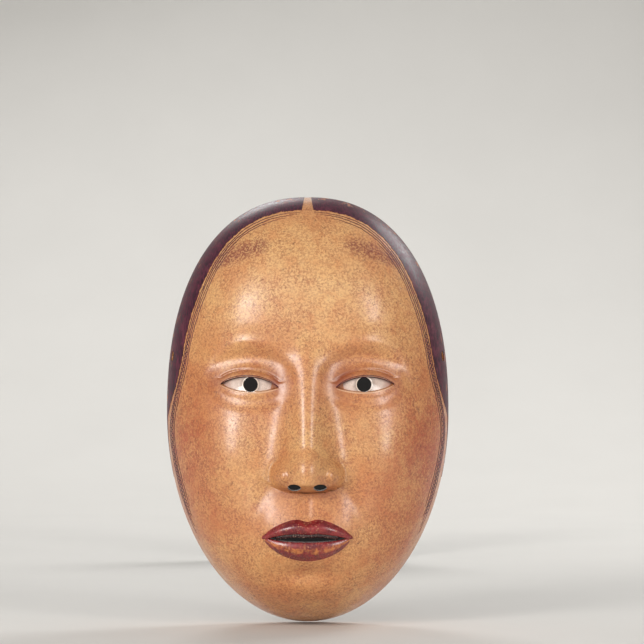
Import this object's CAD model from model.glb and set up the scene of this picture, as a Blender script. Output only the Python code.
import math

import bmesh
import bpy
import numpy as np
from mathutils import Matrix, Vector


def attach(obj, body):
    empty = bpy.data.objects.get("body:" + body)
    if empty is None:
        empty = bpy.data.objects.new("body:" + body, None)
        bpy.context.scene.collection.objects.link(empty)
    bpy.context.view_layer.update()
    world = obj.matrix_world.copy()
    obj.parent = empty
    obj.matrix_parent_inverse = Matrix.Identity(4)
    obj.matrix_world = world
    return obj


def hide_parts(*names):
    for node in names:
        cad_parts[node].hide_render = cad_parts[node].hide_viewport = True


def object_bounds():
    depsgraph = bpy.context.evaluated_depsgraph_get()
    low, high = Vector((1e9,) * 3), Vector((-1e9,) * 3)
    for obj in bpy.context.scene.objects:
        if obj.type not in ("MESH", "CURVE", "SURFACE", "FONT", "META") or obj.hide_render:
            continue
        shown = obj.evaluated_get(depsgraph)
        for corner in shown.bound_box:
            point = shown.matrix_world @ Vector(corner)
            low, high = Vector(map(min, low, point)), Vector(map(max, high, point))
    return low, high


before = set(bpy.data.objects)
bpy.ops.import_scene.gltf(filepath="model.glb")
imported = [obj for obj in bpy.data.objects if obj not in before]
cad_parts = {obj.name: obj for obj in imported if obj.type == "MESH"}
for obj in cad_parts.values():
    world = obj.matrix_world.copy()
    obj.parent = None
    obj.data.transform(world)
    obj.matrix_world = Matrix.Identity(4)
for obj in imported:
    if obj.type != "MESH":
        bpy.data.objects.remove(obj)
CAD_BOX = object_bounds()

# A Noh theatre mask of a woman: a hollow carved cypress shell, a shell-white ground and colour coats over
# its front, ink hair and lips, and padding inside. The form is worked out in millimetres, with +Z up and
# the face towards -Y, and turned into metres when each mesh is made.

MM = 0.001

# ---- Sizes, in millimetres ----

SKIN_SHARE = 0.9995            # the coats' edge, on the side wall, as a share of the outline
HALF_WIDTH = CAD_BOX[1].x / MM / SKIN_SHARE
CROWN_Z = 79
CHIN_Z = -132
WIDEST_Z = -28                 # height of the widest point, and centre of the form
DOME_DEPTH = 51
CHIN_DEPTH = 4.5
WOOD_THICKNESS = 7
RIM_WIDTH = 6.5
RIM_SHARE = (HALF_WIDTH - RIM_WIDTH) / HALF_WIDTH
COAT = 0.75
COAT_EDGE_Y = 1.0

EYE_X = 28
EYE_Z = -14
EYE_HALF = 14
EYE_SUNK = 2.0
PUPIL_X, PUPIL_Z, PUPIL_R = 27.5, -13.4, 3.6
NOSE_BASE_Z = -65
NOSE_TIP_Z, NOSE_TIP_DEPTH = -54.5, 68.8
NOSE_WING_X, NOSE_WING_Z, NOSE_WING_DEPTH = 10.4, -57, 63
NOSTRIL_X, NOSTRIL_Z, NOSTRIL_RX, NOSTRIL_RZ = 6.2, -62.6, 3.2, 1.8
MOUTH_Z = -87
LIP_HALF = 22.5
LOWER_LIP_INSET = 1.5          # how much sooner the lower lip ends than the upper one, on each side
LIP_SWELL = 3.1
MOUTH_GAP_HALF = 19
MOUTH_GAP_RISE = 2.3
CORD_HOLE_R = 2.5
CORD_HOLE_DEPTH = 13
PARTING_HALF = 1.6
HAIR_END_Z = -60
TEETH_HALF = 15
TEETH_SHOW = 2.2

FOREHEAD_PAD = {"x": 25, "z": 38, "rx": 19, "rz": 11, "thick": 8}
CHEEK_PAD = {"x": 41, "z": -52, "rx": 10, "rz": 17, "thick": 7}
PAD_GAP = 0.8
SEAM_HEIGHT = 1.7

RIGHT, LEFT = -1, 1            # the wearer's right is at -X
SIDES = {"right": RIGHT, "left": LEFT}


# ---- Shape helpers ----

def ramp(v, start, end):
    """Smooth step from 0 at start to 1 at end, in either direction."""
    t = np.clip((np.asarray(v, float) - start) / (end - start), 0, 1)
    return t * t * (3 - 2 * t)


def bump(x, z, cx, cz, rx, rz):
    """Soft round mound of height 1."""
    return np.exp(-(((x - cx) / rx) ** 2 + ((z - cz) / rz) ** 2))


def bell(v, width):
    """1 where v is 0, falling softly on both sides."""
    return np.exp(-((v / width) ** 2))


def arch(v, half):
    """1 where v is 0, falling to 0 at half on both sides."""
    return np.maximum(0, 1 - (v / half) ** 2)


def smooth_max(a, b, k):
    t = np.clip(0.5 + 0.5 * (a - b) / k, 0, 1)
    return b + (a - b) * t + k * t * (1 - t)


def smooth_min(a, b, k):
    return -smooth_max(-a, -b, k)


# ---- The face, as depth in front of the rim plane ----

def outline_share(x, z):
    """0 at the middle of the mask and 1 on its outline."""
    upper = z >= WIDEST_Z
    reach = np.where(upper, CROWN_Z - WIDEST_Z, WIDEST_Z - CHIN_Z)
    n = np.where(upper, 2.3, 2.0)
    return ((np.abs(x) / HALF_WIDTH) ** n + (np.abs(z - WIDEST_Z) / reach) ** n) ** (1 / n)


def carved_blank(x, z):
    """The dome with its broad masses: cheeks, temples, brow, eye sockets, muzzle and chin."""
    a = np.abs(x)
    share = np.minimum(1, outline_share(x, z))
    squareness = 2.6 + 2.0 * ramp(-z, 50, 115)
    depth = DOME_DEPTH + CHIN_DEPTH * ramp(-z, 30, 110)
    dome = depth * np.sqrt(np.maximum(0, 1 - share ** squareness))
    socket_share = np.hypot((a - EYE_X) / 22, (z - EYE_Z - 4.5) / 17)
    masses = (
        3.2 * bump(a, z, 39, -47, 17, 19)            # cheekbones
        - 2.0 * bump(a, z, 60, 14, 16, 28)           # temples
        - 2.0 * bump(a, z, 42, -86, 15, 18)          # under the cheeks
        + 2.0 * bump(a, z, 27, 8, 19, 7)             # brow
        + 1.2 * bump(x, z, 0, 40, 34, 22)            # forehead
        - 6.5 * (1 - ramp(socket_share, 0.25, 1.08))
        + 5.6 * bump(x, z, 0, -84, 25, 19)           # muzzle
        - 2.4 * bump(x, z, 0, -105, 15, 4.8)         # groove under the lower lip
        + 4.6 * bump(x, z, 0, -117, 17, 9.5)         # chin
    )
    return dome + masses * ramp(share, 0.98, 0.72)


def lid_lines(x):
    """Place along the eye from -1 to 1, and the heights of the upper and lower lid edges."""
    u = (np.abs(x) - EYE_X) / EYE_HALF
    opening = np.maximum(0, 1 - u * u)
    level = EYE_Z + 0.8 * u
    upper = level + 4.7 * opening ** 0.8 * (1 - 0.06 * u)
    lower = level - 3.0 * opening ** 0.9 * (1 + 0.15 * u)
    return u, upper, lower


def lip_lines(x):
    """Heights of the lips' borders and of the edges of the gap between them."""
    upper_arch = arch(x, LIP_HALF)
    gap_arch = arch(x, MOUTH_GAP_HALF) ** 0.75
    lower_arch = arch(x, LIP_HALF - LOWER_LIP_INSET) ** 0.75
    line = MOUTH_Z + 0.8 * upper_arch - 0.8
    top = line + 9.2 * upper_arch ** 0.8 - 1.7 * bell(x, 3.4)
    gap_top = line + MOUTH_GAP_RISE * gap_arch - 0.5 * bell(x, 4)
    gap_bottom = line - MOUTH_GAP_RISE * gap_arch
    bottom = line - 11.0 * lower_arch
    return top, gap_top, gap_bottom, bottom


def eye_mound(x, z):
    """The eyeball's swell behind and around the lids."""
    inside = 1 - ((np.abs(x) - EYE_X) / 22) ** 2 - ((z - EYE_Z - 1.2) / 15) ** 2
    return 7.6 * np.clip(inside, 0, 1) ** 1.7


def add_eyelids(h, x, z):
    """The eyeballs' swell, with a crease over and under each eye."""
    u, upper, lower = lid_lines(x)
    along_eye = ramp(np.abs(u), 1.3, 0.8)
    upper_crease = 0.75 * bell(z - upper - 3, 0.7) * along_eye
    lower_crease = 0.35 * bell(z - lower + 4, 1.8) * along_eye
    return h + eye_mound(x, z) - upper_crease - lower_crease


def add_nose(h, x, z):
    """A bridge that swells out of the face, a round tip with a wing on each side, and a flat underside."""
    a = np.abs(x)
    rise = 4 * ramp(-z, -14, 6) + 12.5 * np.clip((-2 - z) / 52, 0, 1) ** 1.15
    width = 7.8 + 2.4 * ramp(-z, 5, 50)
    ridge = h + rise * np.exp(-0.8 * (a / width) ** 2)
    tip = NOSE_TIP_DEPTH - ((x / 9.0) ** 2 + ((z - NOSE_TIP_Z) / 9.6) ** 2) * 6.2
    wing_x, wing_z = (a - NOSE_WING_X) / 6.0, (z - NOSE_WING_Z) / 6.6
    wing = NOSE_WING_DEPTH - (wing_x ** 2 + wing_z ** 2) * 6.6
    base_line = NOSE_BASE_Z + 4.2 * np.clip(a / 17, 0, 1.8) ** 2.4
    underside = 56.5 + (z - base_line) * 3.6
    body = np.maximum(smooth_max(smooth_max(ridge, tip, 5), wing, 2.6), h)
    blend = np.clip((body - h) * 0.8, 0.02, 3.0)
    nose = smooth_max(h, smooth_min(body, underside, blend), 0.7 * blend)
    round_wing = np.hypot(wing_x, wing_z) - 1.2
    groove = bell(round_wing, 0.26) * ramp(a, 8, 15) * ramp(z, -66, -58)
    return nose - 0.7 * groove


def lip_roll(s):
    """Cross-section of a lip from the mouth gap at 0 to the border at 1."""
    outer = 1 - ((s - 0.42) / 0.58) ** 2
    inner = 1 - 0.5 * ((0.42 - s) / 0.42) ** 2
    return np.where(s > 0.42, outer, inner)


def add_lips(h, x, z):
    """The lips roll over into the gap between them, where the two meet at the same depth."""
    top, gap_top, gap_bottom, bottom = lip_lines(x)
    philtrum = 0.9 * bell(x, 2.6) * ramp(-z, 65, 70) * ramp(z, -81, -76)
    upper_s = np.clip((z - gap_top) / np.maximum(0.1, top - gap_top), 0, 1)
    lower_s = np.clip((gap_bottom - z) / np.maximum(0.1, gap_bottom - bottom), 0, 1)
    upper = lip_roll(upper_s) * arch(x, LIP_HALF) ** 0.6
    lower = lip_roll(lower_s) * arch(x, LIP_HALF - LOWER_LIP_INSET) ** 0.7
    return h - philtrum + LIP_SWELL * np.where(z > (gap_top + gap_bottom) / 2, upper, lower)


def face_depth(x, z):
    """Depth of the finished face, with the eyes' floors sunk behind the lids."""
    a = np.abs(x)
    fold_x = 18 + (-58 - z) * 0.36
    fold = 0.6 * bell(a - fold_x, 4.6) * ramp(-z, 52, 70) * ramp(z, -100, -80)
    h = carved_blank(x, z) - fold
    h = add_eyelids(h, x, z)
    h = add_nose(h, x, z)
    h = add_lips(h, x, z)
    u, upper, lower = lid_lines(x)
    into_eye = np.where(np.abs(u) < 1, np.minimum(upper - z, z - lower), -1)
    return h - ramp(into_eye, -0.1, 0.5) * (EYE_SUNK + 0.7 * np.minimum(u * u, 1))


def hollow_depth(x, z):
    """Depth of the hollow behind the face, which follows the broad masses."""
    share = np.minimum(1, outline_share(x, z) * (HALF_WIDTH / (HALF_WIDTH - RIM_WIDTH)))
    edge = np.sqrt(np.maximum(0, 1 - share ** 5))
    nose = 8 * bump(x, z, 0, -46, 8, 18)
    eyes = 5.5 * bump(np.abs(x), z, EYE_X, EYE_Z + 1, 13, 9)
    mouth = 1.5 * bump(x, z, 0, MOUTH_Z, 20, 7)
    return np.maximum(0, (carved_blank(x, z) - WOOD_THICKNESS + nose + eyes + mouth) * edge)


def toward_middle(x, z, limit):
    """The same place, or where it lies past that share of the outline, the nearest one inside it."""
    scale = np.minimum(1, limit / np.maximum(outline_share(x, z), 1e-6))
    return x * scale, WIDEST_Z + (z - WIDEST_Z) * scale


def normals_at(x, z, depth=face_depth, step=0.12):
    px, pz = toward_middle(x, z, 0.997)
    slope_x = (depth(px + step, pz) - depth(px - step, pz)) / (2 * step)
    slope_z = (depth(px, pz + step) - depth(px, pz - step)) / (2 * step)
    n = np.stack([-slope_x, -np.ones_like(slope_x), -slope_z], -1)
    return n / np.linalg.norm(n, axis=-1, keepdims=True)


def on_face(x, z, out=0.0):
    """Points of the face surface, lifted by out along its normal."""
    x, z = np.asarray(x, float), np.asarray(z, float)
    points = np.stack([x, -face_depth(x, z), z], -1)
    if np.any(out):
        points = points + normals_at(x, z) * np.asarray(out)[..., None]
    return points


# ---- Meshes ----

def add_object(name, data):
    added = bpy.data.objects.new(name, data)
    bpy.context.scene.collection.objects.link(added)
    return added


def make_piece(name, points, faces):
    mesh = bpy.data.meshes.new(name)
    mesh.from_pydata([tuple(p) for p in np.asarray(points, float) * MM], [], faces)
    mesh.validate()
    return add_object(name, mesh)


def closed_piece(name, points, faces):
    """A piece with no open edges, whose faces are turned to look outwards."""
    piece = make_piece(name, points, faces)
    shape = bmesh.new()
    shape.from_mesh(piece.data)
    bmesh.ops.recalc_face_normals(shape, faces=shape.faces)
    if shape.calc_volume(signed=True) < 0:
        bmesh.ops.reverse_faces(shape, faces=shape.faces)
    shape.to_mesh(piece.data)
    shape.free()
    return piece


def grid_faces(rows, columns, first=0, closed=False):
    """Four-sided faces over a grid of rows by columns of points, joined end to end if closed."""
    faces = []
    last = columns if closed else columns - 1
    for r in range(rows - 1):
        for c in range(last):
            here, beside = r * columns + c, r * columns + (c + 1) % columns
            faces.append((first + here, first + beside, first + beside + columns, first + here + columns))
    return faces


def capped_faces(rows, around):
    """Faces over closed rows of points, with a flat face over each end."""
    last_row = range((rows - 1) * around, rows * around)
    return grid_faces(rows, around, closed=True) + [tuple(range(around)), tuple(reversed(last_row))]


def grid_border(rows, columns):
    """Numbers of the points round the edge of a grid, in order."""
    first_row = list(range(columns))
    last_column = [r * columns + columns - 1 for r in range(1, rows)]
    last_row = [(rows - 1) * columns + c for c in range(columns - 2, -1, -1)]
    first_column = [r * columns for r in range(rows - 2, 0, -1)]
    return first_row + last_column + last_row + first_column


def slab(name, front, back):
    """A closed sheet between two grids of points of the same size."""
    rows, columns = front.shape[:2]
    size = rows * columns
    points = np.concatenate([front.reshape(-1, 3), back.reshape(-1, 3)])
    faces = grid_faces(rows, columns)
    faces += [tuple(reversed(face)) for face in grid_faces(rows, columns, size)]
    border = grid_border(rows, columns)
    for i, here in enumerate(border):
        beside = border[(i + 1) % len(border)]
        faces.append((beside, here, here + size, beside + size))
    return closed_piece(name, points, faces)


def prism(outline, y_front=-90, y_back=20):
    """A straight-sided cutter along Y over a closed outline of (x, z) points."""
    points = [(x, y, z) for y in (y_front, y_back) for x, z in outline]
    return closed_piece("cutter", points, capped_faces(2, len(outline)))


def cut(piece, cutters):
    for cutter in cutters:
        boolean = piece.modifiers.new("cut", "BOOLEAN")
        boolean.operation = "DIFFERENCE"
        boolean.solver = "MANIFOLD"
        boolean.object = cutter
    apply_modifiers(piece)


def discard(pieces):
    for piece in pieces:
        bpy.data.objects.remove(piece)


def apply_modifiers(piece):
    evaluated = piece.evaluated_get(bpy.context.evaluated_depsgraph_get())
    mesh = bpy.data.meshes.new_from_object(evaluated)
    old = piece.data
    piece.modifiers.clear()
    piece.data = mesh
    bpy.data.meshes.remove(old)


def smooth(piece, sharp_angle=50):
    piece.data.polygons.foreach_set("use_smooth", np.ones(len(piece.data.polygons), bool))
    piece.data.set_sharp_from_angle(angle=math.radians(sharp_angle))


def points_of(piece):
    points = np.zeros(len(piece.data.vertices) * 3, np.float32)
    piece.data.vertices.foreach_get("co", points)
    return points.reshape(-1, 3).astype(float) / MM


def paint(piece, name, values):
    """Stores one number per point for the piece's material to read."""
    layer = piece.data.attributes.new(name, "FLOAT", "POINT")
    layer.data.foreach_set("value", np.asarray(values, np.float32))


# ---- The grid that follows the features of the face ----

BLOCK_TOP_Z = 44
BLOCK_BOTTOM_Z = -110
HOLLOW_BLOCK_BOTTOM_Z = -100
CORNER_OPENING = 1.0           # rows of the eyes and mouth stay this far apart past their corners


def feature_rows(x, fineness):
    """Heights at x of every row of the grid, from the top of the block to its bottom."""
    u, upper, lower = lid_lines(x)
    spread = ramp(np.abs(u), 1.5, 0.9) * ramp(np.abs(x), 4, 12)
    upper = np.maximum(upper, EYE_Z + CORNER_OPENING / 2) * spread + (EYE_Z + 2.4) * (1 - spread)
    lower = np.minimum(lower, EYE_Z - CORNER_OPENING / 2) * spread + (EYE_Z - 2.0) * (1 - spread)
    clamped = np.clip(x, -LIP_HALF, LIP_HALF)
    top, gap_top, gap_bottom, bottom = lip_lines(clamped)
    line = MOUTH_Z - 0.8
    top = np.maximum(top, line + 2.2)
    gap_top = np.maximum(gap_top, line + CORNER_OPENING / 2)
    gap_bottom = np.minimum(gap_bottom, line - CORNER_OPENING / 2)
    bottom = np.minimum(bottom, line - 2.2)
    flat = np.zeros_like(x)
    lines = [                  # each with the number of rows from the line above it, at a fineness of 1
        (flat + BLOCK_TOP_Z, 0),
        (upper + 5, 46), (upper + 0.7, 13), (upper - 0.6, 8),
        (lower + 0.6, 9), (lower - 0.7, 8), (lower - 6, 12),
        (flat - 58, 40), (np.maximum(top + 1.2, -80 + flat), 38),
        (top - 0.5, 6), (gap_top + 0.5, 13), (gap_top - 0.4, 5),
        (gap_bottom + 0.4, 4), (gap_bottom - 0.5, 5), (bottom + 0.5, 14),
        (bottom - 1.2, 6), (flat + BLOCK_BOTTOM_Z, 18),
    ]
    rows = [lines[0][0]]
    for (start, _), (end, steps) in zip(lines, lines[1:]):
        count = max(1, round(steps * fineness))
        rows += [start + (end - start) * (k + 1) / count for k in range(count)]
    return np.array(rows)


def feature_block(fineness, columns):
    """The middle of the face as a grid of (x, z), whose rows follow the lids and the lips."""
    nominal = feature_rows(np.array([0.0]), fineness)[:, 0]
    half = 33 + 14 * ramp(nominal, BLOCK_BOTTOM_Z, -70) * ramp(nominal, BLOCK_TOP_Z, 8)
    across = np.linspace(-1, 1, columns + 1)
    x = half[:, None] * across[None, :]
    z = np.array([feature_rows(x[r], fineness)[r] for r in range(len(nominal))])
    return np.stack([x, z], -1)


def plain_block(rows, columns):
    """A plain grid over the middle of the hollow, which stays well inside the rim."""
    z = np.linspace(BLOCK_TOP_Z, HOLLOW_BLOCK_BOTTOM_Z, rows + 1)
    half = 28 + 17 * ramp(z, HOLLOW_BLOCK_BOTTOM_Z, -60) * ramp(z, BLOCK_TOP_Z, 8)
    x = half[:, None] * np.linspace(-1, 1, columns + 1)[None, :]
    return np.stack([x, np.repeat(z[:, None], columns + 1, 1)], -1)


def oval_solid(name, block, rings, surface, outer_share, edge_y, cap_y=None):
    """A closed solid whose front is surface(x, z) over the whole oval, with its edge ring at edge_y.
    The block fills the middle, and rings lead from its border out to the outline."""
    rows, columns = block.shape[:2]
    flat = block.reshape(-1, 2)
    border = grid_border(rows, columns)
    start = flat[border]
    start_share = outline_share(start[:, 0], start[:, 1])
    ring_points = []
    for ring in range(1, rings + 1):
        t = 1 - (1 - ring / rings) ** 1.5
        share = start_share + (outer_share - start_share) * t
        scale = share / start_share
        ring_points.append(np.stack(
            [start[:, 0] * scale, WIDEST_Z + (start[:, 1] - WIDEST_Z) * scale], -1))
    places = np.concatenate([flat] + ring_points)
    points = surface(places[:, 0], places[:, 1])
    around = len(border)
    points[-around:, 1] = edge_y
    faces = grid_faces(rows, columns)
    first = len(flat)
    for i in range(around):
        j = (i + 1) % around
        faces.append((border[i], border[j], first + j, first + i))
    faces += grid_faces(rings, around, first, closed=True)
    if cap_y is not None:
        cap_ring = points[-around:].copy()
        cap_ring[:, 1] = cap_y
        points = np.concatenate([points, cap_ring])
        faces += grid_faces(2, around, len(places) - around, closed=True)
    faces.append(tuple(range(len(points) - around, len(points))))
    return closed_piece(name, points, faces)


# ---- Cutters ----

def oval_outline(cx, cz, rx, rz, count=48):
    angles = 2 * math.pi * np.arange(count) / count
    return [(cx + rx * math.cos(a), cz + rz * math.sin(a)) for a in angles]


def mouth_outline(count=40):
    x = MOUTH_GAP_HALF * np.cos(np.linspace(math.pi, 0, count + 1))
    _, gap_top, gap_bottom, _ = lip_lines(x)
    upper = list(zip(x, gap_top))
    lower = list(zip(x, gap_bottom))[-2:0:-1]
    return upper + lower


def cord_hole_axis(side):
    """A point of the cord hole on the face, and the direction square to the wall there."""
    x = HALF_WIDTH
    while face_depth(np.array(x), np.array(0.0)) < CORD_HOLE_DEPTH:
        x -= 0.05
    normal = normals_at(np.array(side * x), np.array(0.0), carved_blank)
    return np.array([side * x, -CORD_HOLE_DEPTH, 0.0]), normal


def rod(centre, axis, radius, length, count=40):
    """A round cutter about an axis."""
    turn = Vector((0, 0, 1)).rotation_difference(Vector(axis))
    points = []
    for end in (-length / 2, length / 2):
        for i in range(count):
            angle = 2 * math.pi * i / count
            offset = turn @ Vector((radius * math.cos(angle), radius * math.sin(angle), end))
            points.append(tuple(np.array(centre) + np.array(offset)))
    return closed_piece("cutter", points, capped_faces(2, count))


pupil_cutters = [prism(oval_outline(s * PUPIL_X, PUPIL_Z, PUPIL_R, PUPIL_R)) for s in (RIGHT, LEFT)]
nostril_cutters = [
    prism(oval_outline(s * NOSTRIL_X, NOSTRIL_Z, NOSTRIL_RX, NOSTRIL_RZ)) for s in (RIGHT, LEFT)]
mouth_cutter = prism(mouth_outline())
cord_cutters = [rod(*cord_hole_axis(s), CORD_HOLE_R, 36) for s in (RIGHT, LEFT)]
through_cutters = pupil_cutters + nostril_cutters + [mouth_cutter] + cord_cutters


# ---- Coats and wood ----

def coat_back(x, z):
    """The underside of the coats: the face, set back square to its broad masses."""
    return on_face(x, z) - normals_at(x, z, carved_blank) * COAT


def under_coats(name, outer_share, edge_y, cap_y=None):
    """The solid that the coats lie on, whose coarser grid smooths over the creases."""
    fineness, columns, rings = 0.4, 60, 16
    return oval_solid(name, feature_block(fineness, columns), rings, coat_back, outer_share, edge_y, cap_y)


def make_face_coat():
    """The flesh-coloured coat over the whole front, hollow behind and pierced at the holes."""
    fineness, columns, rings = 1.0, 156, 40
    piece = oval_solid("face_coat", feature_block(fineness, columns), rings, on_face, SKIN_SHARE,
                       -COAT_EDGE_Y)
    core = under_coats("core", SKIN_SHARE, -COAT_EDGE_Y, cap_y=8)
    cut(piece, [core] + through_cutters)
    discard([core])
    paint_flesh(piece)
    smooth(piece)
    return piece


def paint_flesh(piece):
    """Where the flesh coat is shaded, blushed, pale, worn, or has a brow smudged on."""
    x, _, z = points_of(piece).T
    a = np.abs(x)
    u, upper, _ = lid_lines(x)
    around_eye = bell(z - upper - 2.5, 3.2) * ramp(np.abs(u), 1.45, 0.8)
    under_nose = bump(a, z, 7, NOSE_BASE_Z + 0.5, 8, 3.2)
    shade = (
        0.62 * bump(a, z, 15, -12, 7, 12)            # beside the bridge of the nose
        + 0.45 * around_eye
        + 0.75 * under_nose
        + 0.35 * bump(a, z, 44, -12, 8, 9)           # outer corner of the eye
        + 0.35 * bump(x, z, 0, -103, 15, 4)          # under the lower lip
    )
    blush = (
        0.75 * bump(a, z, 60, -38, 13, 24)
        + 0.45 * ramp(-z, 10, 80) * ramp(a, 14, 50)
        + 0.30 * bump(x, z, 0, -55, 9, 6)
        + 0.22 * ramp(x, 20, 64)                     # the left side is the redder one
    )
    light = (
        0.9 * bump(x, z, 0, 38, 46, 30)              # forehead
        + 0.7 * bump(a, z, 30, -38, 14, 12)          # cheeks
        + 0.5 * bump(x, z, 0, -30, 7, 22)            # bridge of the nose
    )
    share = outline_share(x, z)
    line = 52 - 0.32 * (a - 30) - 0.006 * (a - 30) ** 2
    brow = bell(z - line, 4.8) * ramp(a, 8, 28) * ramp(a, 54, 40)
    hole_x, _, hole_z = cord_hole_axis(LEFT)[0]
    by_cord_hole = bell(np.hypot(a - hole_x, z - hole_z), 4.2) * 1.6
    edge = np.clip(ramp(share, 0.975, 0.999) + by_cord_hole, 0, 1)
    masks = {"shade": shade, "blush": blush, "light": light, "brow": brow, "edge": edge}
    for name, values in masks.items():
        paint(piece, name, np.clip(values, 0, 1))


GOUGE_STEP = (8.5, 15)         # spacing of the gouge cuts in the hollow, across and along
GOUGE_RIDGE = 1.0
WOOD_EDGE_INSET = 0.011        # how far inside the coats the wood's edge is, as a share of the outline
HOLLOW_LEAST_DEPTH = 1.4
HOLLOW_EDGE_Y = -0.9           # the hollow's last ring, which the straight rim cutter passes
RIM_CUT = (-1.0, 4)            # the rim cutter's front and back
RIM_CUT_TURNS = 360            # how many points it has


def gouge_marks(x, z):
    """Height of the ridges that a carver's gouge leaves, from 0 in a cut's middle to about 1."""
    column = np.floor(x / GOUGE_STEP[0])
    row = np.floor(z / GOUGE_STEP[1])
    nearest = np.full(np.shape(x), 9.0)
    for dc in (-1, 0, 1):
        for dr in (-1, 0, 1):
            c, r = column + dc, row + dr
            wobble_x = np.modf(np.sin(c * 127.1 + r * 311.7) * 43758.5453)[0] * 0.38
            wobble_z = np.modf(np.sin(c * 269.5 + r * 183.3) * 24634.6345)[0] * 0.42
            across = x / GOUGE_STEP[0] - (c + 0.5 + wobble_x)
            along = z / GOUGE_STEP[1] - (r + 0.5 + wobble_z)
            nearest = np.minimum(nearest, across ** 2 + along ** 2)
    return np.minimum(1, nearest / 0.55)


def hollow_front(x, z):
    """The carved wall of the hollow, with gouge marks that are fainter under the pads."""
    inner_x, inner_z = toward_middle(x, z, RIM_SHARE)
    depth = hollow_depth(inner_x, inner_z)
    marks = gouge_marks(x, z) * GOUGE_RIDGE * ramp(depth, 0.5, 8)
    for pad in (FOREHEAD_PAD, CHEEK_PAD):
        from_pad = np.hypot((np.abs(x) - pad["x"]) / pad["rx"], (z - pad["z"]) / pad["rz"])
        marks = marks * (0.2 + 0.8 * ramp(from_pad, 1.0, 1.25))
    return np.stack([x, -np.maximum(depth - marks, HOLLOW_LEAST_DEPTH), z], -1)


def make_wood_shell():
    """The block of wood behind the coats, with the hollow cut into its back and a flat rim left round it."""
    piece = under_coats("wood_shell", SKIN_SHARE - WOOD_EDGE_INSET, 0.0)
    rows, columns, rings = 150, 96, 44
    hollow = oval_solid("hollow", plain_block(rows, columns), rings, hollow_front, RIM_SHARE, HOLLOW_EDGE_Y)
    turns = np.linspace(0, 360, RIM_CUT_TURNS, endpoint=False)
    hollow_edge = prism(list(zip(*outline_point(turns, RIM_SHARE + 0.005))), *RIM_CUT)
    cut(piece, [hollow, hollow_edge] + through_cutters)
    discard([hollow, hollow_edge])
    x, y, z = points_of(piece).T
    _, gap_top, gap_bottom, _ = lip_lines(x)
    in_mouth = ramp(z, gap_bottom - 0.8, gap_bottom - 0.2) * ramp(z, gap_top + 0.8, gap_top + 0.2)
    paint(piece, "handled", ramp(y, -9, -0.5))
    paint(piece, "mouth", in_mouth * ramp(np.abs(x), MOUTH_GAP_HALF + 0.8, MOUTH_GAP_HALF + 0.2))
    smooth(piece, 40)
    return piece


# ---- Paint and inlays ----

def hair_share(z):
    """The hairline: how far out from the middle the hair starts, as a share of the outline."""
    return 0.9 + 0.035 * ramp(z, 30, CROWN_Z) + 0.15 * ramp(z, 5, HAIR_END_Z)


def outline_point(turn, share):
    """A place on the oval: turn is the angle in degrees from +X towards +Z."""
    angle = np.radians(turn)
    x = HALF_WIDTH * np.cos(angle)
    rise = np.sin(angle)
    z = WIDEST_Z + rise * np.where(rise >= 0, CROWN_Z - WIDEST_Z, WIDEST_Z - CHIN_Z)
    scale = share / outline_share(x, z)
    return x * scale, WIDEST_Z + (z - WIDEST_Z) * scale


def brush_wobble(along, size, seed):
    """An uneven line, as a brush leaves it, from about -1 to 1."""
    phases = np.random.default_rng(seed).uniform(0, 2 * math.pi, 6)
    waves = [np.sin(along * 2 * math.pi / (size * k) + p) / (1 + i * 0.35)
             for i, (k, p) in enumerate(zip((7.3, 3.1, 1.7, 0.9, 0.53, 0.31), phases))]
    return sum(waves) / 2.6


HAIR_END_TURN = -18
HAIR_COLUMNS = 400
HAIR_ROWS = 18
HAIR_LIFT, HAIR_SINK = 0.12, -0.25     # the ink's front and back, from the face's surface


def make_hair(side, word):
    """The hair's ink from the hairline out over the mask's edge, on one side of the parting."""
    crown_turn = 90 - math.degrees(PARTING_HALF / HALF_WIDTH)
    turn = np.linspace(crown_turn, HAIR_END_TURN, HAIR_COLUMNS)
    rim_z = outline_point(turn, 1.0)[1]
    along = np.cumsum(np.full(HAIR_COLUMNS, 0.55))
    band = 1 - np.minimum(hair_share(rim_z) + 0.22 / HALF_WIDTH * brush_wobble(along, 2.3, 11 + side), 0.985)
    inner = SKIN_SHARE - band * (0.02 + 0.98 * ramp(rim_z, HAIR_END_Z, -14) ** 1.4)
    across = 1 - (1 - np.linspace(0, 1, HAIR_ROWS)) ** 1.6
    share = inner[None, :] + (SKIN_SHARE - inner[None, :]) * across[:, None]
    x, z = outline_point(turn[None, :] + 0 * share, share)
    parting = PARTING_HALF * (1 + 0.8 * (1 - across[:, None]))
    x = side * np.maximum(x, parting)
    sheets = [on_face(x, z, lift) for lift in (HAIR_LIFT, HAIR_SINK)]
    for sheet in sheets:
        sheet[-1, :, 1] = -COAT_EDGE_Y + 0.02
    piece = slab(f"hair_coat_{word}", *sheets)
    cut(piece, cord_cutters)
    x, _, z = points_of(piece).T
    paint(piece, "rim", ramp(outline_share(x, z), 0.965, 0.998))
    smooth(piece)
    return piece


def painted_line(name, x, z, width, lift=0.1):
    """One painted line on the face along the places x, z, with a width at each of them."""
    path = np.stack([x, z], -1)
    run = np.gradient(path, axis=0)
    run /= np.maximum(np.linalg.norm(run, axis=1, keepdims=True), 1e-9)
    beside = np.stack([-run[:, 1], run[:, 0]], -1)
    offsets = np.array([-0.5, -0.22, 0.22, 0.5])
    lifts = np.array([0.02, 1.0, 1.0, 0.02]) * lift
    places = path[None] + offsets[:, None, None] * np.asarray(width)[None, :, None] * beside[None]
    x, z = places[..., 0], places[..., 1]
    return slab(name, on_face(x, z, lifts[:, None]), on_face(x, z, -0.18))


def joined(name, pieces):
    """One object from several, which are used up."""
    shape = bmesh.new()
    for piece in pieces:
        shape.from_mesh(piece.data)
    discard(pieces)
    mesh = bpy.data.meshes.new(name)
    shape.to_mesh(mesh)
    shape.free()
    return add_object(name, mesh)


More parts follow.
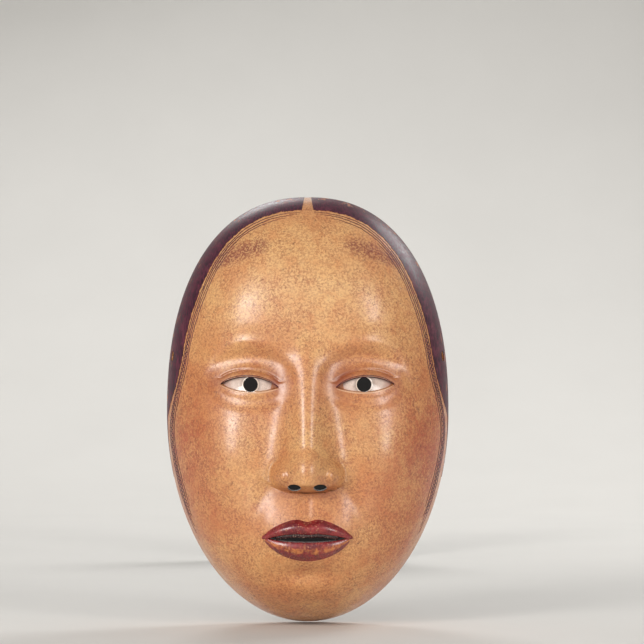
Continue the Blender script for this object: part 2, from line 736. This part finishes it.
STRANDS = [                    # start and end turns in degrees, inset from the hair in mm, and width in mm
    (87, -36, 0.75, 0.36),
    (84, -34, 1.45, 0.42),
    (80, -31, 2.20, 0.36),
    (58, -28, 3.00, 0.34),
]
CROSS_STROKE_STEP = 1.15       # degrees of turn between the slanting strokes


def strand_place(turn, inset, side, wobble=0.0):
    """A place beside the hairline, inset towards the middle of the face by that many mm."""
    rim_z = outline_point(turn, 1.0)[1]
    edge = smooth_min(hair_share(rim_z), 0.99 - 0.012 * ramp(rim_z, -25, -70), 0.05)
    share = edge - (inset + wobble) / HALF_WIDTH
    x, z = outline_point(turn, share)
    return side * x, z


def make_loose_hair(side, word):
    """The strands painted inside the hairline, and the slanting strokes that bind them at the temple."""
    lines = []
    for number, (start, end, inset, width) in enumerate(STRANDS):
        count = 200
        turn = np.linspace(start, end, count)
        wobble = 0.16 * brush_wobble(np.arange(count) * 1.0, 9, 31 + number + side)
        x, z = strand_place(turn, inset, side, wobble)
        t = np.linspace(0, 1, count)
        taper = np.clip(np.minimum(t, 1 - t) / 0.12, 0, 1) ** 0.6
        lines.append(painted_line("line", x, z, width * (0.15 + 0.85 * taper)))
    for turn in np.arange(24, -30, -CROSS_STROKE_STEP):
        t = np.linspace(0, 1, 7)
        x, z = strand_place(turn - 1.6 * t, 0.5 + 2.0 * t, side)
        width = 0.34 * (0.4 + 0.6 * np.sin(math.pi * t))
        lines.append(painted_line("line", x, z, width, 0.08))
    piece = joined(f"loose_hair_{word}", lines)
    smooth(piece)
    return piece


LIP_END = LIP_HALF - 0.7
LIP_COLUMNS = 110
LIP_WRAP = 3.2                 # how far the colour runs in over the edge of the mouth


def make_lip(name, upper):
    """One lip's colour, from the border over the roll and into the mouth."""
    end = LIP_END if upper else LIP_END - LOWER_LIP_INSET
    across = np.sin(np.linspace(-1, 1, LIP_COLUMNS) * math.pi / 2) * end
    top, gap_top, gap_bottom, bottom = lip_lines(across)
    border, edge = (top, gap_top) if upper else (bottom, gap_bottom)
    into_mouth = -1 if upper else 1
    down = np.linspace(1.04, 0, 20)[:, None]
    z = edge[None] + (border - edge)[None] * down
    x = across[None] + 0 * z
    front = on_face(x, z, 0.13)
    back = on_face(x, z, -0.3)
    steps = np.array([0.25, 0.6, 1.1, 1.8, LIP_WRAP])
    rim = front[-1]
    inside = [rim + np.array([0, s, into_mouth * 0.14 * min(1, s / 0.5)]) for s in steps]
    behind = [row + np.array([0, 0.0, -into_mouth * 0.5]) for row in inside]
    front = np.concatenate([front, np.array(inside)])
    back = np.concatenate([back, np.array(behind)])
    piece = slab(name, front, back)
    rolled = np.concatenate([np.repeat(down, LIP_COLUMNS, 1), np.zeros((len(steps), LIP_COLUMNS))])
    worn = bell(rolled - 0.45, 0.33) * (0.1 if upper else 0.42)
    paint(piece, "rubbed", np.tile(worn.reshape(-1), 2))
    smooth(piece)
    return piece


def make_eye_white(side, word):
    """The painted eye on its sunk floor, pierced by the pupil."""
    across = np.linspace(-1, 1, 64)
    x = side * (EYE_X + across * (EYE_HALF - 0.15))
    _, upper, lower = lid_lines(x)
    share = np.linspace(0, 1, 26)[:, None]
    z = (lower - 0.35)[None] + (upper - lower + 0.7)[None] * share
    x = x[None] + 0 * z
    u = (np.abs(x) - EYE_X) / EYE_HALF
    depth = carved_blank(x, z) + eye_mound(x, z) - EYE_SUNK - 0.7 * u * u + 0.15
    front = np.stack([x, -depth, z], -1)
    piece = slab(f"eye_white_{word}", front, front + np.array([0, 0.6, 0]))
    cut(piece, pupil_cutters)
    px, _, pz = points_of(piece).T
    u, upper, _ = lid_lines(px)
    from_pupil = np.hypot(px - side * PUPIL_X, pz - PUPIL_Z) - PUPIL_R
    paint(piece, "corner", ramp(np.abs(u), 0.55, 0.95))
    paint(piece, "under_lid", ramp(upper - pz, 2.2, 0.0))
    paint(piece, "iris", ramp(from_pupil, 2.4, 0.6))
    paint(piece, "hole_edge", ramp(from_pupil, 0.5, 0.2))
    smooth(piece)
    return piece


def make_lid_line(side, word, upper):
    """Ink along the edge of the upper lid, or the pale edge of the lower one."""
    u = np.linspace(-1.0, 1.0, 90)
    x = EYE_X + EYE_HALF * u
    _, top, bottom = lid_lines(x)
    z = top - 0.05 if upper else bottom - 0.45
    widest = 1.3 if upper else 0.7
    width = widest * (0.25 + 0.75 * np.maximum(0, 1 - u ** 2) ** 0.5)
    lid = "upper" if upper else "lower"
    piece = painted_line(f"{lid}_lid_line_{word}", side * x, z, width, 0.12)
    paint(piece, "lid", np.ones(len(piece.data.vertices)))
    smooth(piece)
    return piece


TOOTH_EDGES = [0, 4.6, 8.6, 12.2, TEETH_HALF]      # from the middle of the mouth outwards


def make_teeth():
    """The blackened upper teeth behind the lip."""
    x = np.linspace(-TEETH_HALF, TEETH_HALF, 150)
    a = np.abs(x)
    low = lip_lines(x)[1] - TEETH_SHOW
    tooth = np.zeros_like(x)
    for start, end in zip(TOOTH_EDGES, TOOTH_EDGES[1:]):
        t = np.clip((a - start) / (end - start), 0, 1)
        tooth = np.maximum(tooth, np.where((a >= start) & (a <= end), 1 - (2 * t - 1) ** 6, 0))
    rise = np.linspace(0, 1, 18)[:, None]
    z = (low + 0.35 * (1 - tooth))[None] + 5 * rise
    x = x[None] + 0 * z
    lip = np.sqrt(np.maximum(0, 1 - (1 - np.minimum(1, rise / 0.3)) ** 2))
    front_y = -(carved_blank(x, z) - 1.95) - 0.28 * tooth[None] * lip + 0.5 * (1 - lip)
    front = np.stack([x, front_y, z], -1)
    piece = slab("teeth_coat", front, front + np.array([0, 1.6, 0.15]))
    smooth(piece, 65)
    return piece


# ---- Pads ----

PAD_AROUND, PAD_RINGS = 96, 12
PAD_FRAMES = 20
PAD_EXTRA_CLOTH = 0.10         # how much larger the silk is than the shape it starts from
PAD_MOST_MOVE = 1.5            # how far, in mm, a point may end from where it started
STITCHES = 30
THREAD_RADIUS = 0.26


def pad_place(pad, side, share, angle):
    """A place on a pad's oval, at a share of its size and an angle from +X."""
    return (side * pad["x"] + pad["rx"] * share * np.cos(angle),
            pad["z"] + pad["rz"] * share * np.sin(angle))


def make_pad(name, side, pad):
    """A small silk pad: two crowned faces stitched together at a seam, filled out by a cloth simulation."""
    angle = np.linspace(0, 2 * math.pi, PAD_AROUND, endpoint=False)
    share = np.sin(np.linspace(0.04, math.pi / 2, PAD_RINGS))
    s, a = np.meshgrid(share, angle, indexing="ij")
    px, pz = pad_place(pad, side, s, a)
    floor_y = -hollow_depth(px, pz) + PAD_GAP
    crown = (pad["thick"] - SEAM_HEIGHT - 0.4) * np.maximum(0, 1 - s ** 2.2) ** 0.62
    top = np.stack([px, floor_y + SEAM_HEIGHT + crown, pz], -1)
    under = np.stack([px, floor_y + SEAM_HEIGHT * s ** 6, pz], -1)[:-1]
    points = np.concatenate([top.reshape(-1, 3), under.reshape(-1, 3)])
    faces = grid_faces(PAD_RINGS, PAD_AROUND, 0, closed=True)
    first = PAD_RINGS * PAD_AROUND
    faces += [tuple(reversed(f)) for f in grid_faces(PAD_RINGS - 1, PAD_AROUND, first, closed=True)]
    seam = range((PAD_RINGS - 1) * PAD_AROUND, PAD_RINGS * PAD_AROUND)
    last_back = first + (PAD_RINGS - 2) * PAD_AROUND
    for i in range(PAD_AROUND):
        j = (i + 1) % PAD_AROUND
        faces.append((last_back + i, last_back + j, seam[j], seam[i]))
    faces.append(tuple(range(PAD_AROUND)))
    faces.append(tuple(reversed(range(first, first + PAD_AROUND))))
    piece = closed_piece(name, points, faces)
    fill_out(piece, seam)
    rounder = piece.modifiers.new("rounder", "SUBSURF")
    rounder.levels = rounder.render_levels = 1
    apply_modifiers(piece)
    smooth(piece, 80)
    return piece


def fill_out(piece, seam):
    """Lets pressure push the loose silk out between its stitches, then caps how far it has moved."""
    started = points_of(piece)
    stitched = piece.vertex_groups.new(name="stitched")
    stitched.add(list(seam), 1.0, "REPLACE")
    cloth = piece.modifiers.new("cloth", "CLOTH")
    settings = cloth.settings
    settings.quality = 5
    settings.mass = 0.05
    settings.tension_stiffness = settings.compression_stiffness = 8
    settings.bending_stiffness = 0.02
    settings.shrink_min = -PAD_EXTRA_CLOTH
    settings.use_pressure = True
    settings.uniform_pressure_force = 4
    settings.vertex_group_mass = "stitched"
    settings.effector_weights.gravity = 0
    cloth.collision_settings.use_collision = False
    for frame_number in range(1, PAD_FRAMES + 1):
        bpy.context.scene.frame_set(frame_number)
    apply_modifiers(piece)
    bpy.context.scene.frame_set(1)
    moved = points_of(piece) - started
    far = np.linalg.norm(moved, axis=1, keepdims=True)
    ended = started + moved * np.minimum(1, PAD_MOST_MOVE / np.maximum(far, 1e-6))
    ended[:, 1] = np.maximum(ended[:, 1], -hollow_depth(ended[:, 0], ended[:, 2]) + PAD_GAP)
    piece.data.vertices.foreach_set("co", (ended * MM).astype(np.float32).reshape(-1))
    piece.data.update()


def make_stitches(name, side, pad):
    """Small whip stitches over the pad's seam."""
    stitches = []
    for i in range(STITCHES):
        angle = 2 * math.pi * (i + 0.5) / STITCHES
        t = np.linspace(0, 1, 9)
        lean = 0.09 * (t - 0.5)
        s = 0.90 + 0.115 * t
        px, pz = pad_place(pad, side, s, angle + lean)
        level = -hollow_depth(px, pz) + PAD_GAP + SEAM_HEIGHT * 0.75
        rise = 1.9 * np.sin(math.pi * (0.35 + 0.65 * t)) - 0.4
        path = np.stack([px, level + rise, pz], -1)
        stitches.append(tube("stitch", path, THREAD_RADIUS))
    piece = joined(name, stitches)
    smooth(piece)
    return piece


def tube(name, path, radius, sides=6):
    """A closed round thread along a path of points."""
    rows = []
    for i, point in enumerate(path):
        ahead = path[min(i + 1, len(path) - 1)] - path[max(i - 1, 0)]
        ahead = Vector(ahead).normalized()
        first = ahead.orthogonal().normalized()
        second = ahead.cross(first)
        rows.append([tuple(Vector(point) + radius * (math.cos(a) * first + math.sin(a) * second))
                     for a in (2 * math.pi * k / sides for k in range(sides))])
    return closed_piece(name, np.array(rows).reshape(-1, 3), capped_faces(len(rows), sides))


# ---- Finishes ----

def colour(red, green, blue):
    """A colour given as it looks on screen, from 0 to 255, as the shader's linear light."""
    return tuple((v / 255 / 12.92 if v / 255 <= 0.04045 else ((v / 255 + 0.055) / 1.055) ** 2.4)
                 for v in (red, green, blue)) + (1,)


class Finish:
    """A procedural material laid down in layers, with short ways to make the nodes that finishes share."""

    def __init__(self, name, **settings):
        self.material = bpy.data.materials.new(name)
        self.material.use_nodes = True
        self.tree = self.material.node_tree
        self.shader = self.tree.nodes["Principled BSDF"]
        self.place = self.tree.nodes.new("ShaderNodeTexCoord").outputs["Object"]
        for name, value in settings.items():
            self.set(name.replace("_", " "), value)

    def feed(self, socket, value):
        """Gives a socket a number or colour, or a link from another node."""
        if isinstance(value, bpy.types.NodeSocket):
            self.tree.links.new(value, socket)
        else:
            socket.default_value = value

    def set(self, name, value):
        self.feed(self.shader.inputs[name], value)

    def node(self, kind, output, inputs, **settings):
        """Adds a node with its settings, feeds its inputs, and gives one of its outputs."""
        node = self.tree.nodes.new("ShaderNode" + kind)
        for name, value in settings.items():
            setattr(node, name, value)
        for name, value in inputs.items():
            self.feed(node.inputs[name], value)
        return node.outputs[output]

    def stretched(self, x, y, z, turn=(0, 0, 0)):
        return self.node("Mapping", "Vector", {"Vector": self.place, "Scale": (x, y, z), "Rotation": turn})

    def noise(self, size, detail=3, roughness=0.5, distortion=0, place=None):
        """Cloudy pattern from 0 to 1 whose features are about size mm across."""
        return self.node("TexNoise", "Fac", {
            "Vector": place or self.place, "Scale": 1 / (size * MM), "Detail": detail,
            "Roughness": roughness, "Distortion": distortion})

    def waves(self, size, direction):
        """Slightly wavering stripes from 0 to 1, size mm apart."""
        return self.node("TexWave", "Fac", {
            "Vector": self.place, "Scale": 0.314 / (size * MM), "Distortion": 0.5, "Detail": 1},
            bands_direction=direction)

    def mask(self, name):
        """A number that was painted on the mesh's points."""
        return self.node("Attribute", "Fac", {}, attribute_name=name)

    def between(self, value, start, end, low=0.0, high=1.0):
        """A smooth step from low at start to high at end."""
        return self.node("MapRange", "Result", {
            "Value": value, "From Min": start, "From Max": end, "To Min": low, "To Max": high},
            interpolation_type="SMOOTHSTEP")

    def spots(self, noise, start, end, low=0.0, high=1.0):
        """The same step over a noise pattern, given as the settings of noise."""
        return self.between(self.noise(*noise), start, end, low, high)

    def math(self, operation, a, b):
        return self.node("Math", "Value", {0: a, 1: b}, operation=operation)

    def times(self, *values):
        product = values[0]
        for value in values[1:]:
            product = self.math("MULTIPLY", product, value)
        return product

    def plus(self, *values):
        total = values[0]
        for value in values[1:]:
            total = self.math("ADD", total, value)
        return total

    def mix(self, share, under, over):
        """The colour over laid on the colour under, as far as share says."""
        return self.node("Mix", "Result", {"Factor": share, "A": under, "B": over}, data_type="RGBA")

    def ground(self, share, first, second):
        """The lowest colour: the first, and the second as far as share says."""
        self.base = self.mix(share, colour(*first), colour(*second))

    def lay(self, tint, *shares):
        """Another colour on top, as far as the product of the shares says."""
        self.base = self.mix(self.times(*shares), self.base, colour(*tint))

    def finished(self, roughness, height, depth, strength=0.8):
        """The material, given its roughness and a relief whose full height is depth mm."""
        self.set("Base Color", self.base)
        self.set("Roughness", roughness)
        self.set("Normal", self.node("Bump", "Normal", {
            "Strength": strength, "Distance": depth * MM, "Height": height}))
        return self.material


def flesh_finish():
    """Aged shell-white tinted flesh tan: cloudy, speckled, rubbed to a gloss, with blush and soft brows."""
    f = Finish("flesh_coat", Specular_IOR_Level=0.5, Coat_Weight=0.4, Coat_Roughness=0.22)
    patches = f.noise(8, 4, 0.62, 0.4)
    f.ground(f.spots((30, 3, 0.55), 0.36, 0.64), (202, 136, 84), (216, 162, 104))
    f.lay((196, 118, 70), f.between(patches, 0.45, 0.70), 0.45)
    f.lay((224, 182, 128), f.mask("light"), f.between(patches, 0.65, 0.35, 0.45, 0.85))
    f.lay((142, 72, 42), f.mask("shade"), f.between(patches, 0.2, 0.6, 0.55, 1.0))
    stipple = f.plus(f.times(f.spots((1.5, 3, 0.7), 0.40, 0.60), 0.6), 0.4)
    f.lay((168, 68, 50), f.mask("blush"), stipple, f.between(patches, 0.3, 0.6, 0.5, 1), 0.85)
    smudge = f.between(f.plus(f.mask("brow"), f.noise(3.5, 5, 0.8)), 0.70, 1.45)
    hairs = f.plus(f.times(f.spots((1.1, 3, 0.75), 0.42, 0.56), 0.75), 0.25)
    f.lay((104, 40, 52), smudge, hairs, 0.80)
    where = f.spots((11, 3, 0.6), 0.30, 0.62, 0.55, 1.0)
    f.lay((140, 70, 44), f.spots((1.1, 4, 0.8), 0.45, 0.57), where, 0.60)
    specks = f.times(f.spots((1.6, 5, 0.85, 0.3), 0.56, 0.64), where)
    f.lay((86, 42, 28), specks, 0.72)
    bare = f.times(f.mask("edge"), f.spots((2.6, 4, 0.7), 0.50, 0.57))
    f.lay((206, 150, 120), bare)
    down = f.stretched(1, 1, 0.14, (0, 0.5, 0))
    f.lay((110, 62, 38), f.spots((1.6, 3, 0.7, 0, down), 0.68, 0.75), 0.35)
    rubbed = f.spots((7, 4, 0.6), 0.3, 0.7, 0.28, 0.46)
    height = f.plus(f.times(f.noise(5.5, 3, 0.5), 0.7), f.times(f.noise(0.9, 2, 0.5), 0.14),
                    f.times(specks, -0.24), f.times(bare, -0.5))
    return f.finished(f.plus(rubbed, f.times(specks, 0.22), f.times(bare, 0.3)), height, 0.16)


def hair_finish():
    """Ink hair: plum black in fine strokes along the edge of the mask, chipped to salmon at its rim."""
    f = Finish("hair_ink", Specular_IOR_Level=0.22, Coat_Weight=0.06, Coat_Roughness=0.24)
    strands = f.noise(0.55, 3, 0.6, 0, f.stretched(1, 0.25, 0.2))
    f.ground(f.between(strands, 0.35, 0.7), (46, 20, 34), (98, 44, 62))
    f.lay((122, 60, 74), f.spots((8, 4, 0.65), 0.48, 0.75), 0.5)
    streaks = f.noise(3.0, 5, 0.72, 0.5, f.stretched(1, 1, 0.3))
    chips = f.times(f.mask("rim"), f.between(streaks, 0.575, 0.615))
    f.lay((206, 138, 104), chips)
    roughness = f.plus(f.between(strands, 0.3, 0.7, 0.36, 0.54), f.times(chips, 0.3))
    return f.finished(roughness, f.plus(f.times(strands, 0.5), f.times(chips, -0.9)), 0.10)


def lip_finish():
    """Crimson over an orange ground, rubbed through on the lower lip and flecked everywhere."""
    f = Finish("lip_colour", Specular_IOR_Level=0.5, Coat_Weight=0.4, Coat_Roughness=0.15)
    f.ground(f.spots((4, 4, 0.6), 0.35, 0.65), (104, 26, 34), (144, 46, 46))
    rub = f.plus(f.mask("rubbed"), f.times(f.noise(2.6, 5, 0.72, 0.3), 1.1))
    f.lay((205, 128, 68), f.between(rub, 0.80, 1.08), 0.85)
    flecks = f.spots((0.9, 3, 0.7), 0.60, 0.66)
    f.lay((214, 150, 112), flecks, 0.7)
    f.lay((66, 14, 20), f.spots((1.1, 3, 0.6, 0, f.stretched(1, 1, 0.4)), 0.60, 0.70), 0.6)
    height = f.plus(f.times(f.noise(1.4, 3, 0.6), 0.5), f.times(flecks, -0.6))
    return f.finished(f.spots((3, 3, 0.6), 0.3, 0.7, 0.22, 0.40), height, 0.10)


def eye_finish():
    """Warm white, greyer under the upper lid and pinker in the corners."""
    f = Finish("eye_white", Specular_IOR_Level=0.5, Coat_Weight=0.5, Coat_Roughness=0.12)
    f.ground(f.spots((3, 3, 0.6), 0.3, 0.7), (196, 172, 158), (218, 198, 186))
    f.lay((186, 122, 104), f.mask("corner"), 0.6)
    f.lay((86, 70, 66), f.mask("under_lid"), 0.75)
    f.lay((110, 78, 62), f.spots((0.7, 3, 0.65), 0.62, 0.68), 0.5)
    f.lay((92, 70, 62), f.mask("iris"), 0.45)
    f.lay((224, 204, 186), f.mask("hole_edge"))
    f.lay((208, 162, 128), f.mask("lid"))
    return f.finished(f.spots((2, 2, 0.5), 0.3, 0.7, 0.16, 0.30), f.noise(0.9, 2, 0.5), 0.04, 0.6)


def tooth_finish():
    """Teeth blackened with ink, with a few bright grains."""
    f = Finish("tooth_ink", Specular_IOR_Level=0.6, Coat_Weight=0.7, Coat_Roughness=0.08)
    f.ground(f.spots((1.4, 3, 0.6), 0.35, 0.7), (48, 32, 35), (98, 68, 66))
    f.lay((196, 164, 146), f.spots((0.8, 2, 0.5), 0.62, 0.67), 0.8)
    return f.finished(f.spots((1.2, 2, 0.5), 0.3, 0.7, 0.15, 0.32), f.noise(0.8, 3, 0.5), 0.06, 0.7)


def wood_finish():
    """Cypress darkened by a wiped lacquer, with close straight grain down the mask."""
    f = Finish("cypress_wood", Specular_IOR_Level=0.5, Coat_Weight=0.06, Coat_Roughness=0.32)
    rings = f.noise(5.2, 2, 0.5, 0.6, f.stretched(1, 0.5, 0.045, (0, 0.03, 0)))
    fibres = f.noise(0.45, 4, 0.65, 0, f.stretched(1, 1, 0.07))
    f.ground(f.between(rings, 0.35, 0.65), (132, 82, 45), (98, 56, 30))
    f.lay((66, 35, 18), f.between(fibres, 0.45, 0.7), 0.5)
    f.lay((54, 28, 16), f.spots((26, 4, 0.6), 0.42, 0.68), 0.6)
    f.lay((150, 100, 60), f.mask("handled"), f.spots((6, 4, 0.6), 0.3, 0.6), 0.8)
    f.lay((40, 22, 16), f.mask("mouth"))
    roughness = f.plus(f.between(fibres, 0.3, 0.75, 0.36, 0.6), f.times(f.mask("mouth"), 0.5))
    return f.finished(roughness, f.plus(f.times(fibres, 0.5), f.times(rings, 0.35)), 0.12)


def silk_finish():
    """Plum silk in a small plain weave, faded where it rubs."""
    f = Finish("pad_silk", Specular_IOR_Level=0.4, Sheen_Weight=0.5, Sheen_Roughness=0.35,
               Sheen_Tint=colour(196, 186, 200))
    weave = f.math("MAXIMUM", f.waves(0.85, "X"), f.times(f.waves(0.85, "Z"), 0.85))
    slubs = f.noise(1.2, 3, 0.6, 0, f.stretched(0.18, 1, 1))
    f.ground(f.between(slubs, 0.35, 0.7), (98, 58, 78), (138, 92, 106))
    f.lay((166, 128, 126), f.spots((7, 4, 0.6), 0.45, 0.7), 0.5)
    f.lay((36, 20, 30), f.between(weave, 0.5, 0.05), 0.5)
    height = f.plus(f.times(weave, 0.7), f.times(slubs, 0.3))
    return f.finished(f.between(slubs, 0.3, 0.7, 0.5, 0.7), height, 0.14, 0.9)


def thread_finish():
    """Pale twisted thread."""
    f = Finish("thread", Specular_IOR_Level=0.4, Sheen_Weight=0.3)
    twist = f.waves(0.3, "DIAGONAL")
    f.ground(twist, (150, 128, 100), (214, 196, 164))
    return f.finished(f.spots((0.6, 2, 0.5), 0.3, 0.7, 0.5, 0.7), twist, 0.06)


def floor_finish():
    f = Finish("floor", Roughness=0.7, Specular_IOR_Level=0.2)
    f.ground(f.noise(90, 3, 0.5), (214, 212, 208), (220, 218, 214))
    f.set("Base Color", f.base)
    return f.material


# ---- Assembly ----

FINISHES = {
    "flesh_coat": flesh_finish(),
    "hair_ink": hair_finish(),
    "lip_colour": lip_finish(),
    "eye_white": eye_finish(),
    "tooth_ink": tooth_finish(),
    "cypress_wood": wood_finish(),
    "pad_silk": silk_finish(),
    "thread": thread_finish(),
}


def assemble(piece, slot, *nodes, finish=None):
    """Puts a piece on the body, in its slot's finish or another, in place of the CAD nodes it redraws."""
    piece.data.materials.clear()
    piece.data.materials.append(FINISHES[finish or slot])
    piece.data.polygons.foreach_set("material_index", np.zeros(len(piece.data.polygons), np.int32))
    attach(piece, "root")
    if nodes:
        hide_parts(*nodes)
    return piece


assemble(make_face_coat(), "flesh_coat", "face_coat")
assemble(make_wood_shell(), "cypress_wood", "wood_shell")
assemble(make_lip("upper_lip_coat", True), "lip_colour", "upper_lip_coat")
assemble(make_lip("lower_lip_coat", False), "lip_colour", "lower_lip_coat")
assemble(make_teeth(), "tooth_ink", "teeth_coat")
for word, side in SIDES.items():
    assemble(make_hair(side, word), "hair_ink", f"hair_coat_{word}")
    assemble(make_loose_hair(side, word), "hair_ink")
    assemble(make_eye_white(side, word), "eye_white", f"eye_white_{word}")
    assemble(make_lid_line(side, word, True), "hair_ink")
    assemble(make_lid_line(side, word, False), "eye_white")
    for place, shape in (("forehead", FOREHEAD_PAD), ("cheek", CHEEK_PAD)):
        node = f"{place}_pad_{word}"
        pad = assemble(make_pad(node + "_silk", side, shape), "pad_silk", node)
        assemble(make_stitches(node + "_stitches", side, shape), "pad_silk", finish="thread")
discard(through_cutters)


# ---- Camera, lights and floor ----

FRAME_WIDTH = 313
CAMERA_DISTANCE = 1600
CAMERA_X, CAMERA_Z = 7.1, 16.9
FRAMED_DEPTH = 40              # how far in front of the rim the picture is FRAME_WIDTH wide
SENSOR_WIDTH = 36

camera_data = bpy.data.cameras.new("camera")
camera = add_object("camera", camera_data)
camera.location = Vector((CAMERA_X, -CAMERA_DISTANCE, CAMERA_Z)) * MM
camera.rotation_euler = (math.pi / 2, 0, 0)
camera_data.sensor_width = SENSOR_WIDTH
camera_data.lens = SENSOR_WIDTH * (CAMERA_DISTANCE - FRAMED_DEPTH) / FRAME_WIDTH
bpy.context.scene.camera = camera


WARM, WHITE = (1, 0.98, 0.95), (1, 1, 1)
SOFT_BOXES = [                 # name, place, the point it is turned to, width and height, watts and tint
    ("left_box", (-1220, -1440, 490), (0, -30, -20), (570, 1060), 24.2, WARM),
    ("right_box", (1310, -1330, 420), (0, -30, -20), (420, 1060), 13.2, WARM),
    ("front_box", (-260, -1500, 620), (0, -30, -30), (1700, 1100), 3.4, WHITE),
    ("back_box", (900, 900, 800), (0, 0, -20), (600, 600), 9, WHITE),
    ("high_back_box", (-300, 1300, 900), (0, 0, -20), (500, 500), 6, WHITE),
]


def soft_box(name, place, aim, size, watts, tint):
    data = bpy.data.lights.new(name, "AREA")
    data.shape = "RECTANGLE"
    data.size, data.size_y = size[0] * MM, size[1] * MM
    data.energy = watts
    data.color = tint
    lamp = add_object(name, data)
    lamp.location = Vector(place) * MM
    direction = (Vector(aim) - Vector(place)).normalized()
    lamp.rotation_euler = direction.to_track_quat("-Z", "Y").to_euler()


for box in SOFT_BOXES:
    soft_box(*box)

world = bpy.data.worlds.new("world")
bpy.context.scene.world = world
world.use_nodes = True
sky = world.node_tree.nodes["Background"]
sky.inputs["Color"].default_value = (0.86, 0.85, 0.83, 1)
sky.inputs["Strength"].default_value = 0.33

FLOOR_Z = CHIN_Z - 0.5
FLOOR_HALF = 6000
FLOOR_RISE = 900               # how far behind the mask the floor starts to curve up
FLOOR_CURVE = 900              # the radius that it curves up in
FLOOR_TOP_Z = 2600


def make_floor():
    """A pale sweep: flat under the mask and curving up behind it."""
    run = np.linspace(0, 1, 60)
    y = np.concatenate([[-FLOOR_HALF], FLOOR_RISE + FLOOR_CURVE * np.sin(run * math.pi / 2)])
    z = np.concatenate([[FLOOR_Z], FLOOR_Z + FLOOR_CURVE * (1 - np.cos(run * math.pi / 2))])
    y, z = np.append(y, y[-1]), np.append(z, FLOOR_TOP_Z)
    x = np.linspace(-FLOOR_HALF, FLOOR_HALF, 2)
    points = [(px, py, pz) for py, pz in zip(y, z) for px in x]
    floor = make_piece("floor", points, grid_faces(len(y), 2))
    floor.data.materials.append(floor_finish())
    smooth(floor)


def make_dark_card():
    """A dark card with a foot stands on the floor some way behind the mask, so that its holes look dark."""
    half_width, top_z, foot_z = 45, -12, FLOOR_Z + 0.3
    card_y, foot_y = 420, 320
    profile = [(foot_y, foot_z), (card_y, foot_z), (card_y, top_z)]
    points = [(x, y, z) for y, z in profile for x in (-half_width, half_width)]
    card = make_piece("dark_card", points, grid_faces(len(profile), 2))
    card.data.materials.append(Finish("dark_card", Base_Color=colour(14, 11, 11), Roughness=0.9).material)


make_floor()
make_dark_card()

bpy.context.scene.view_settings.view_transform = "Standard"
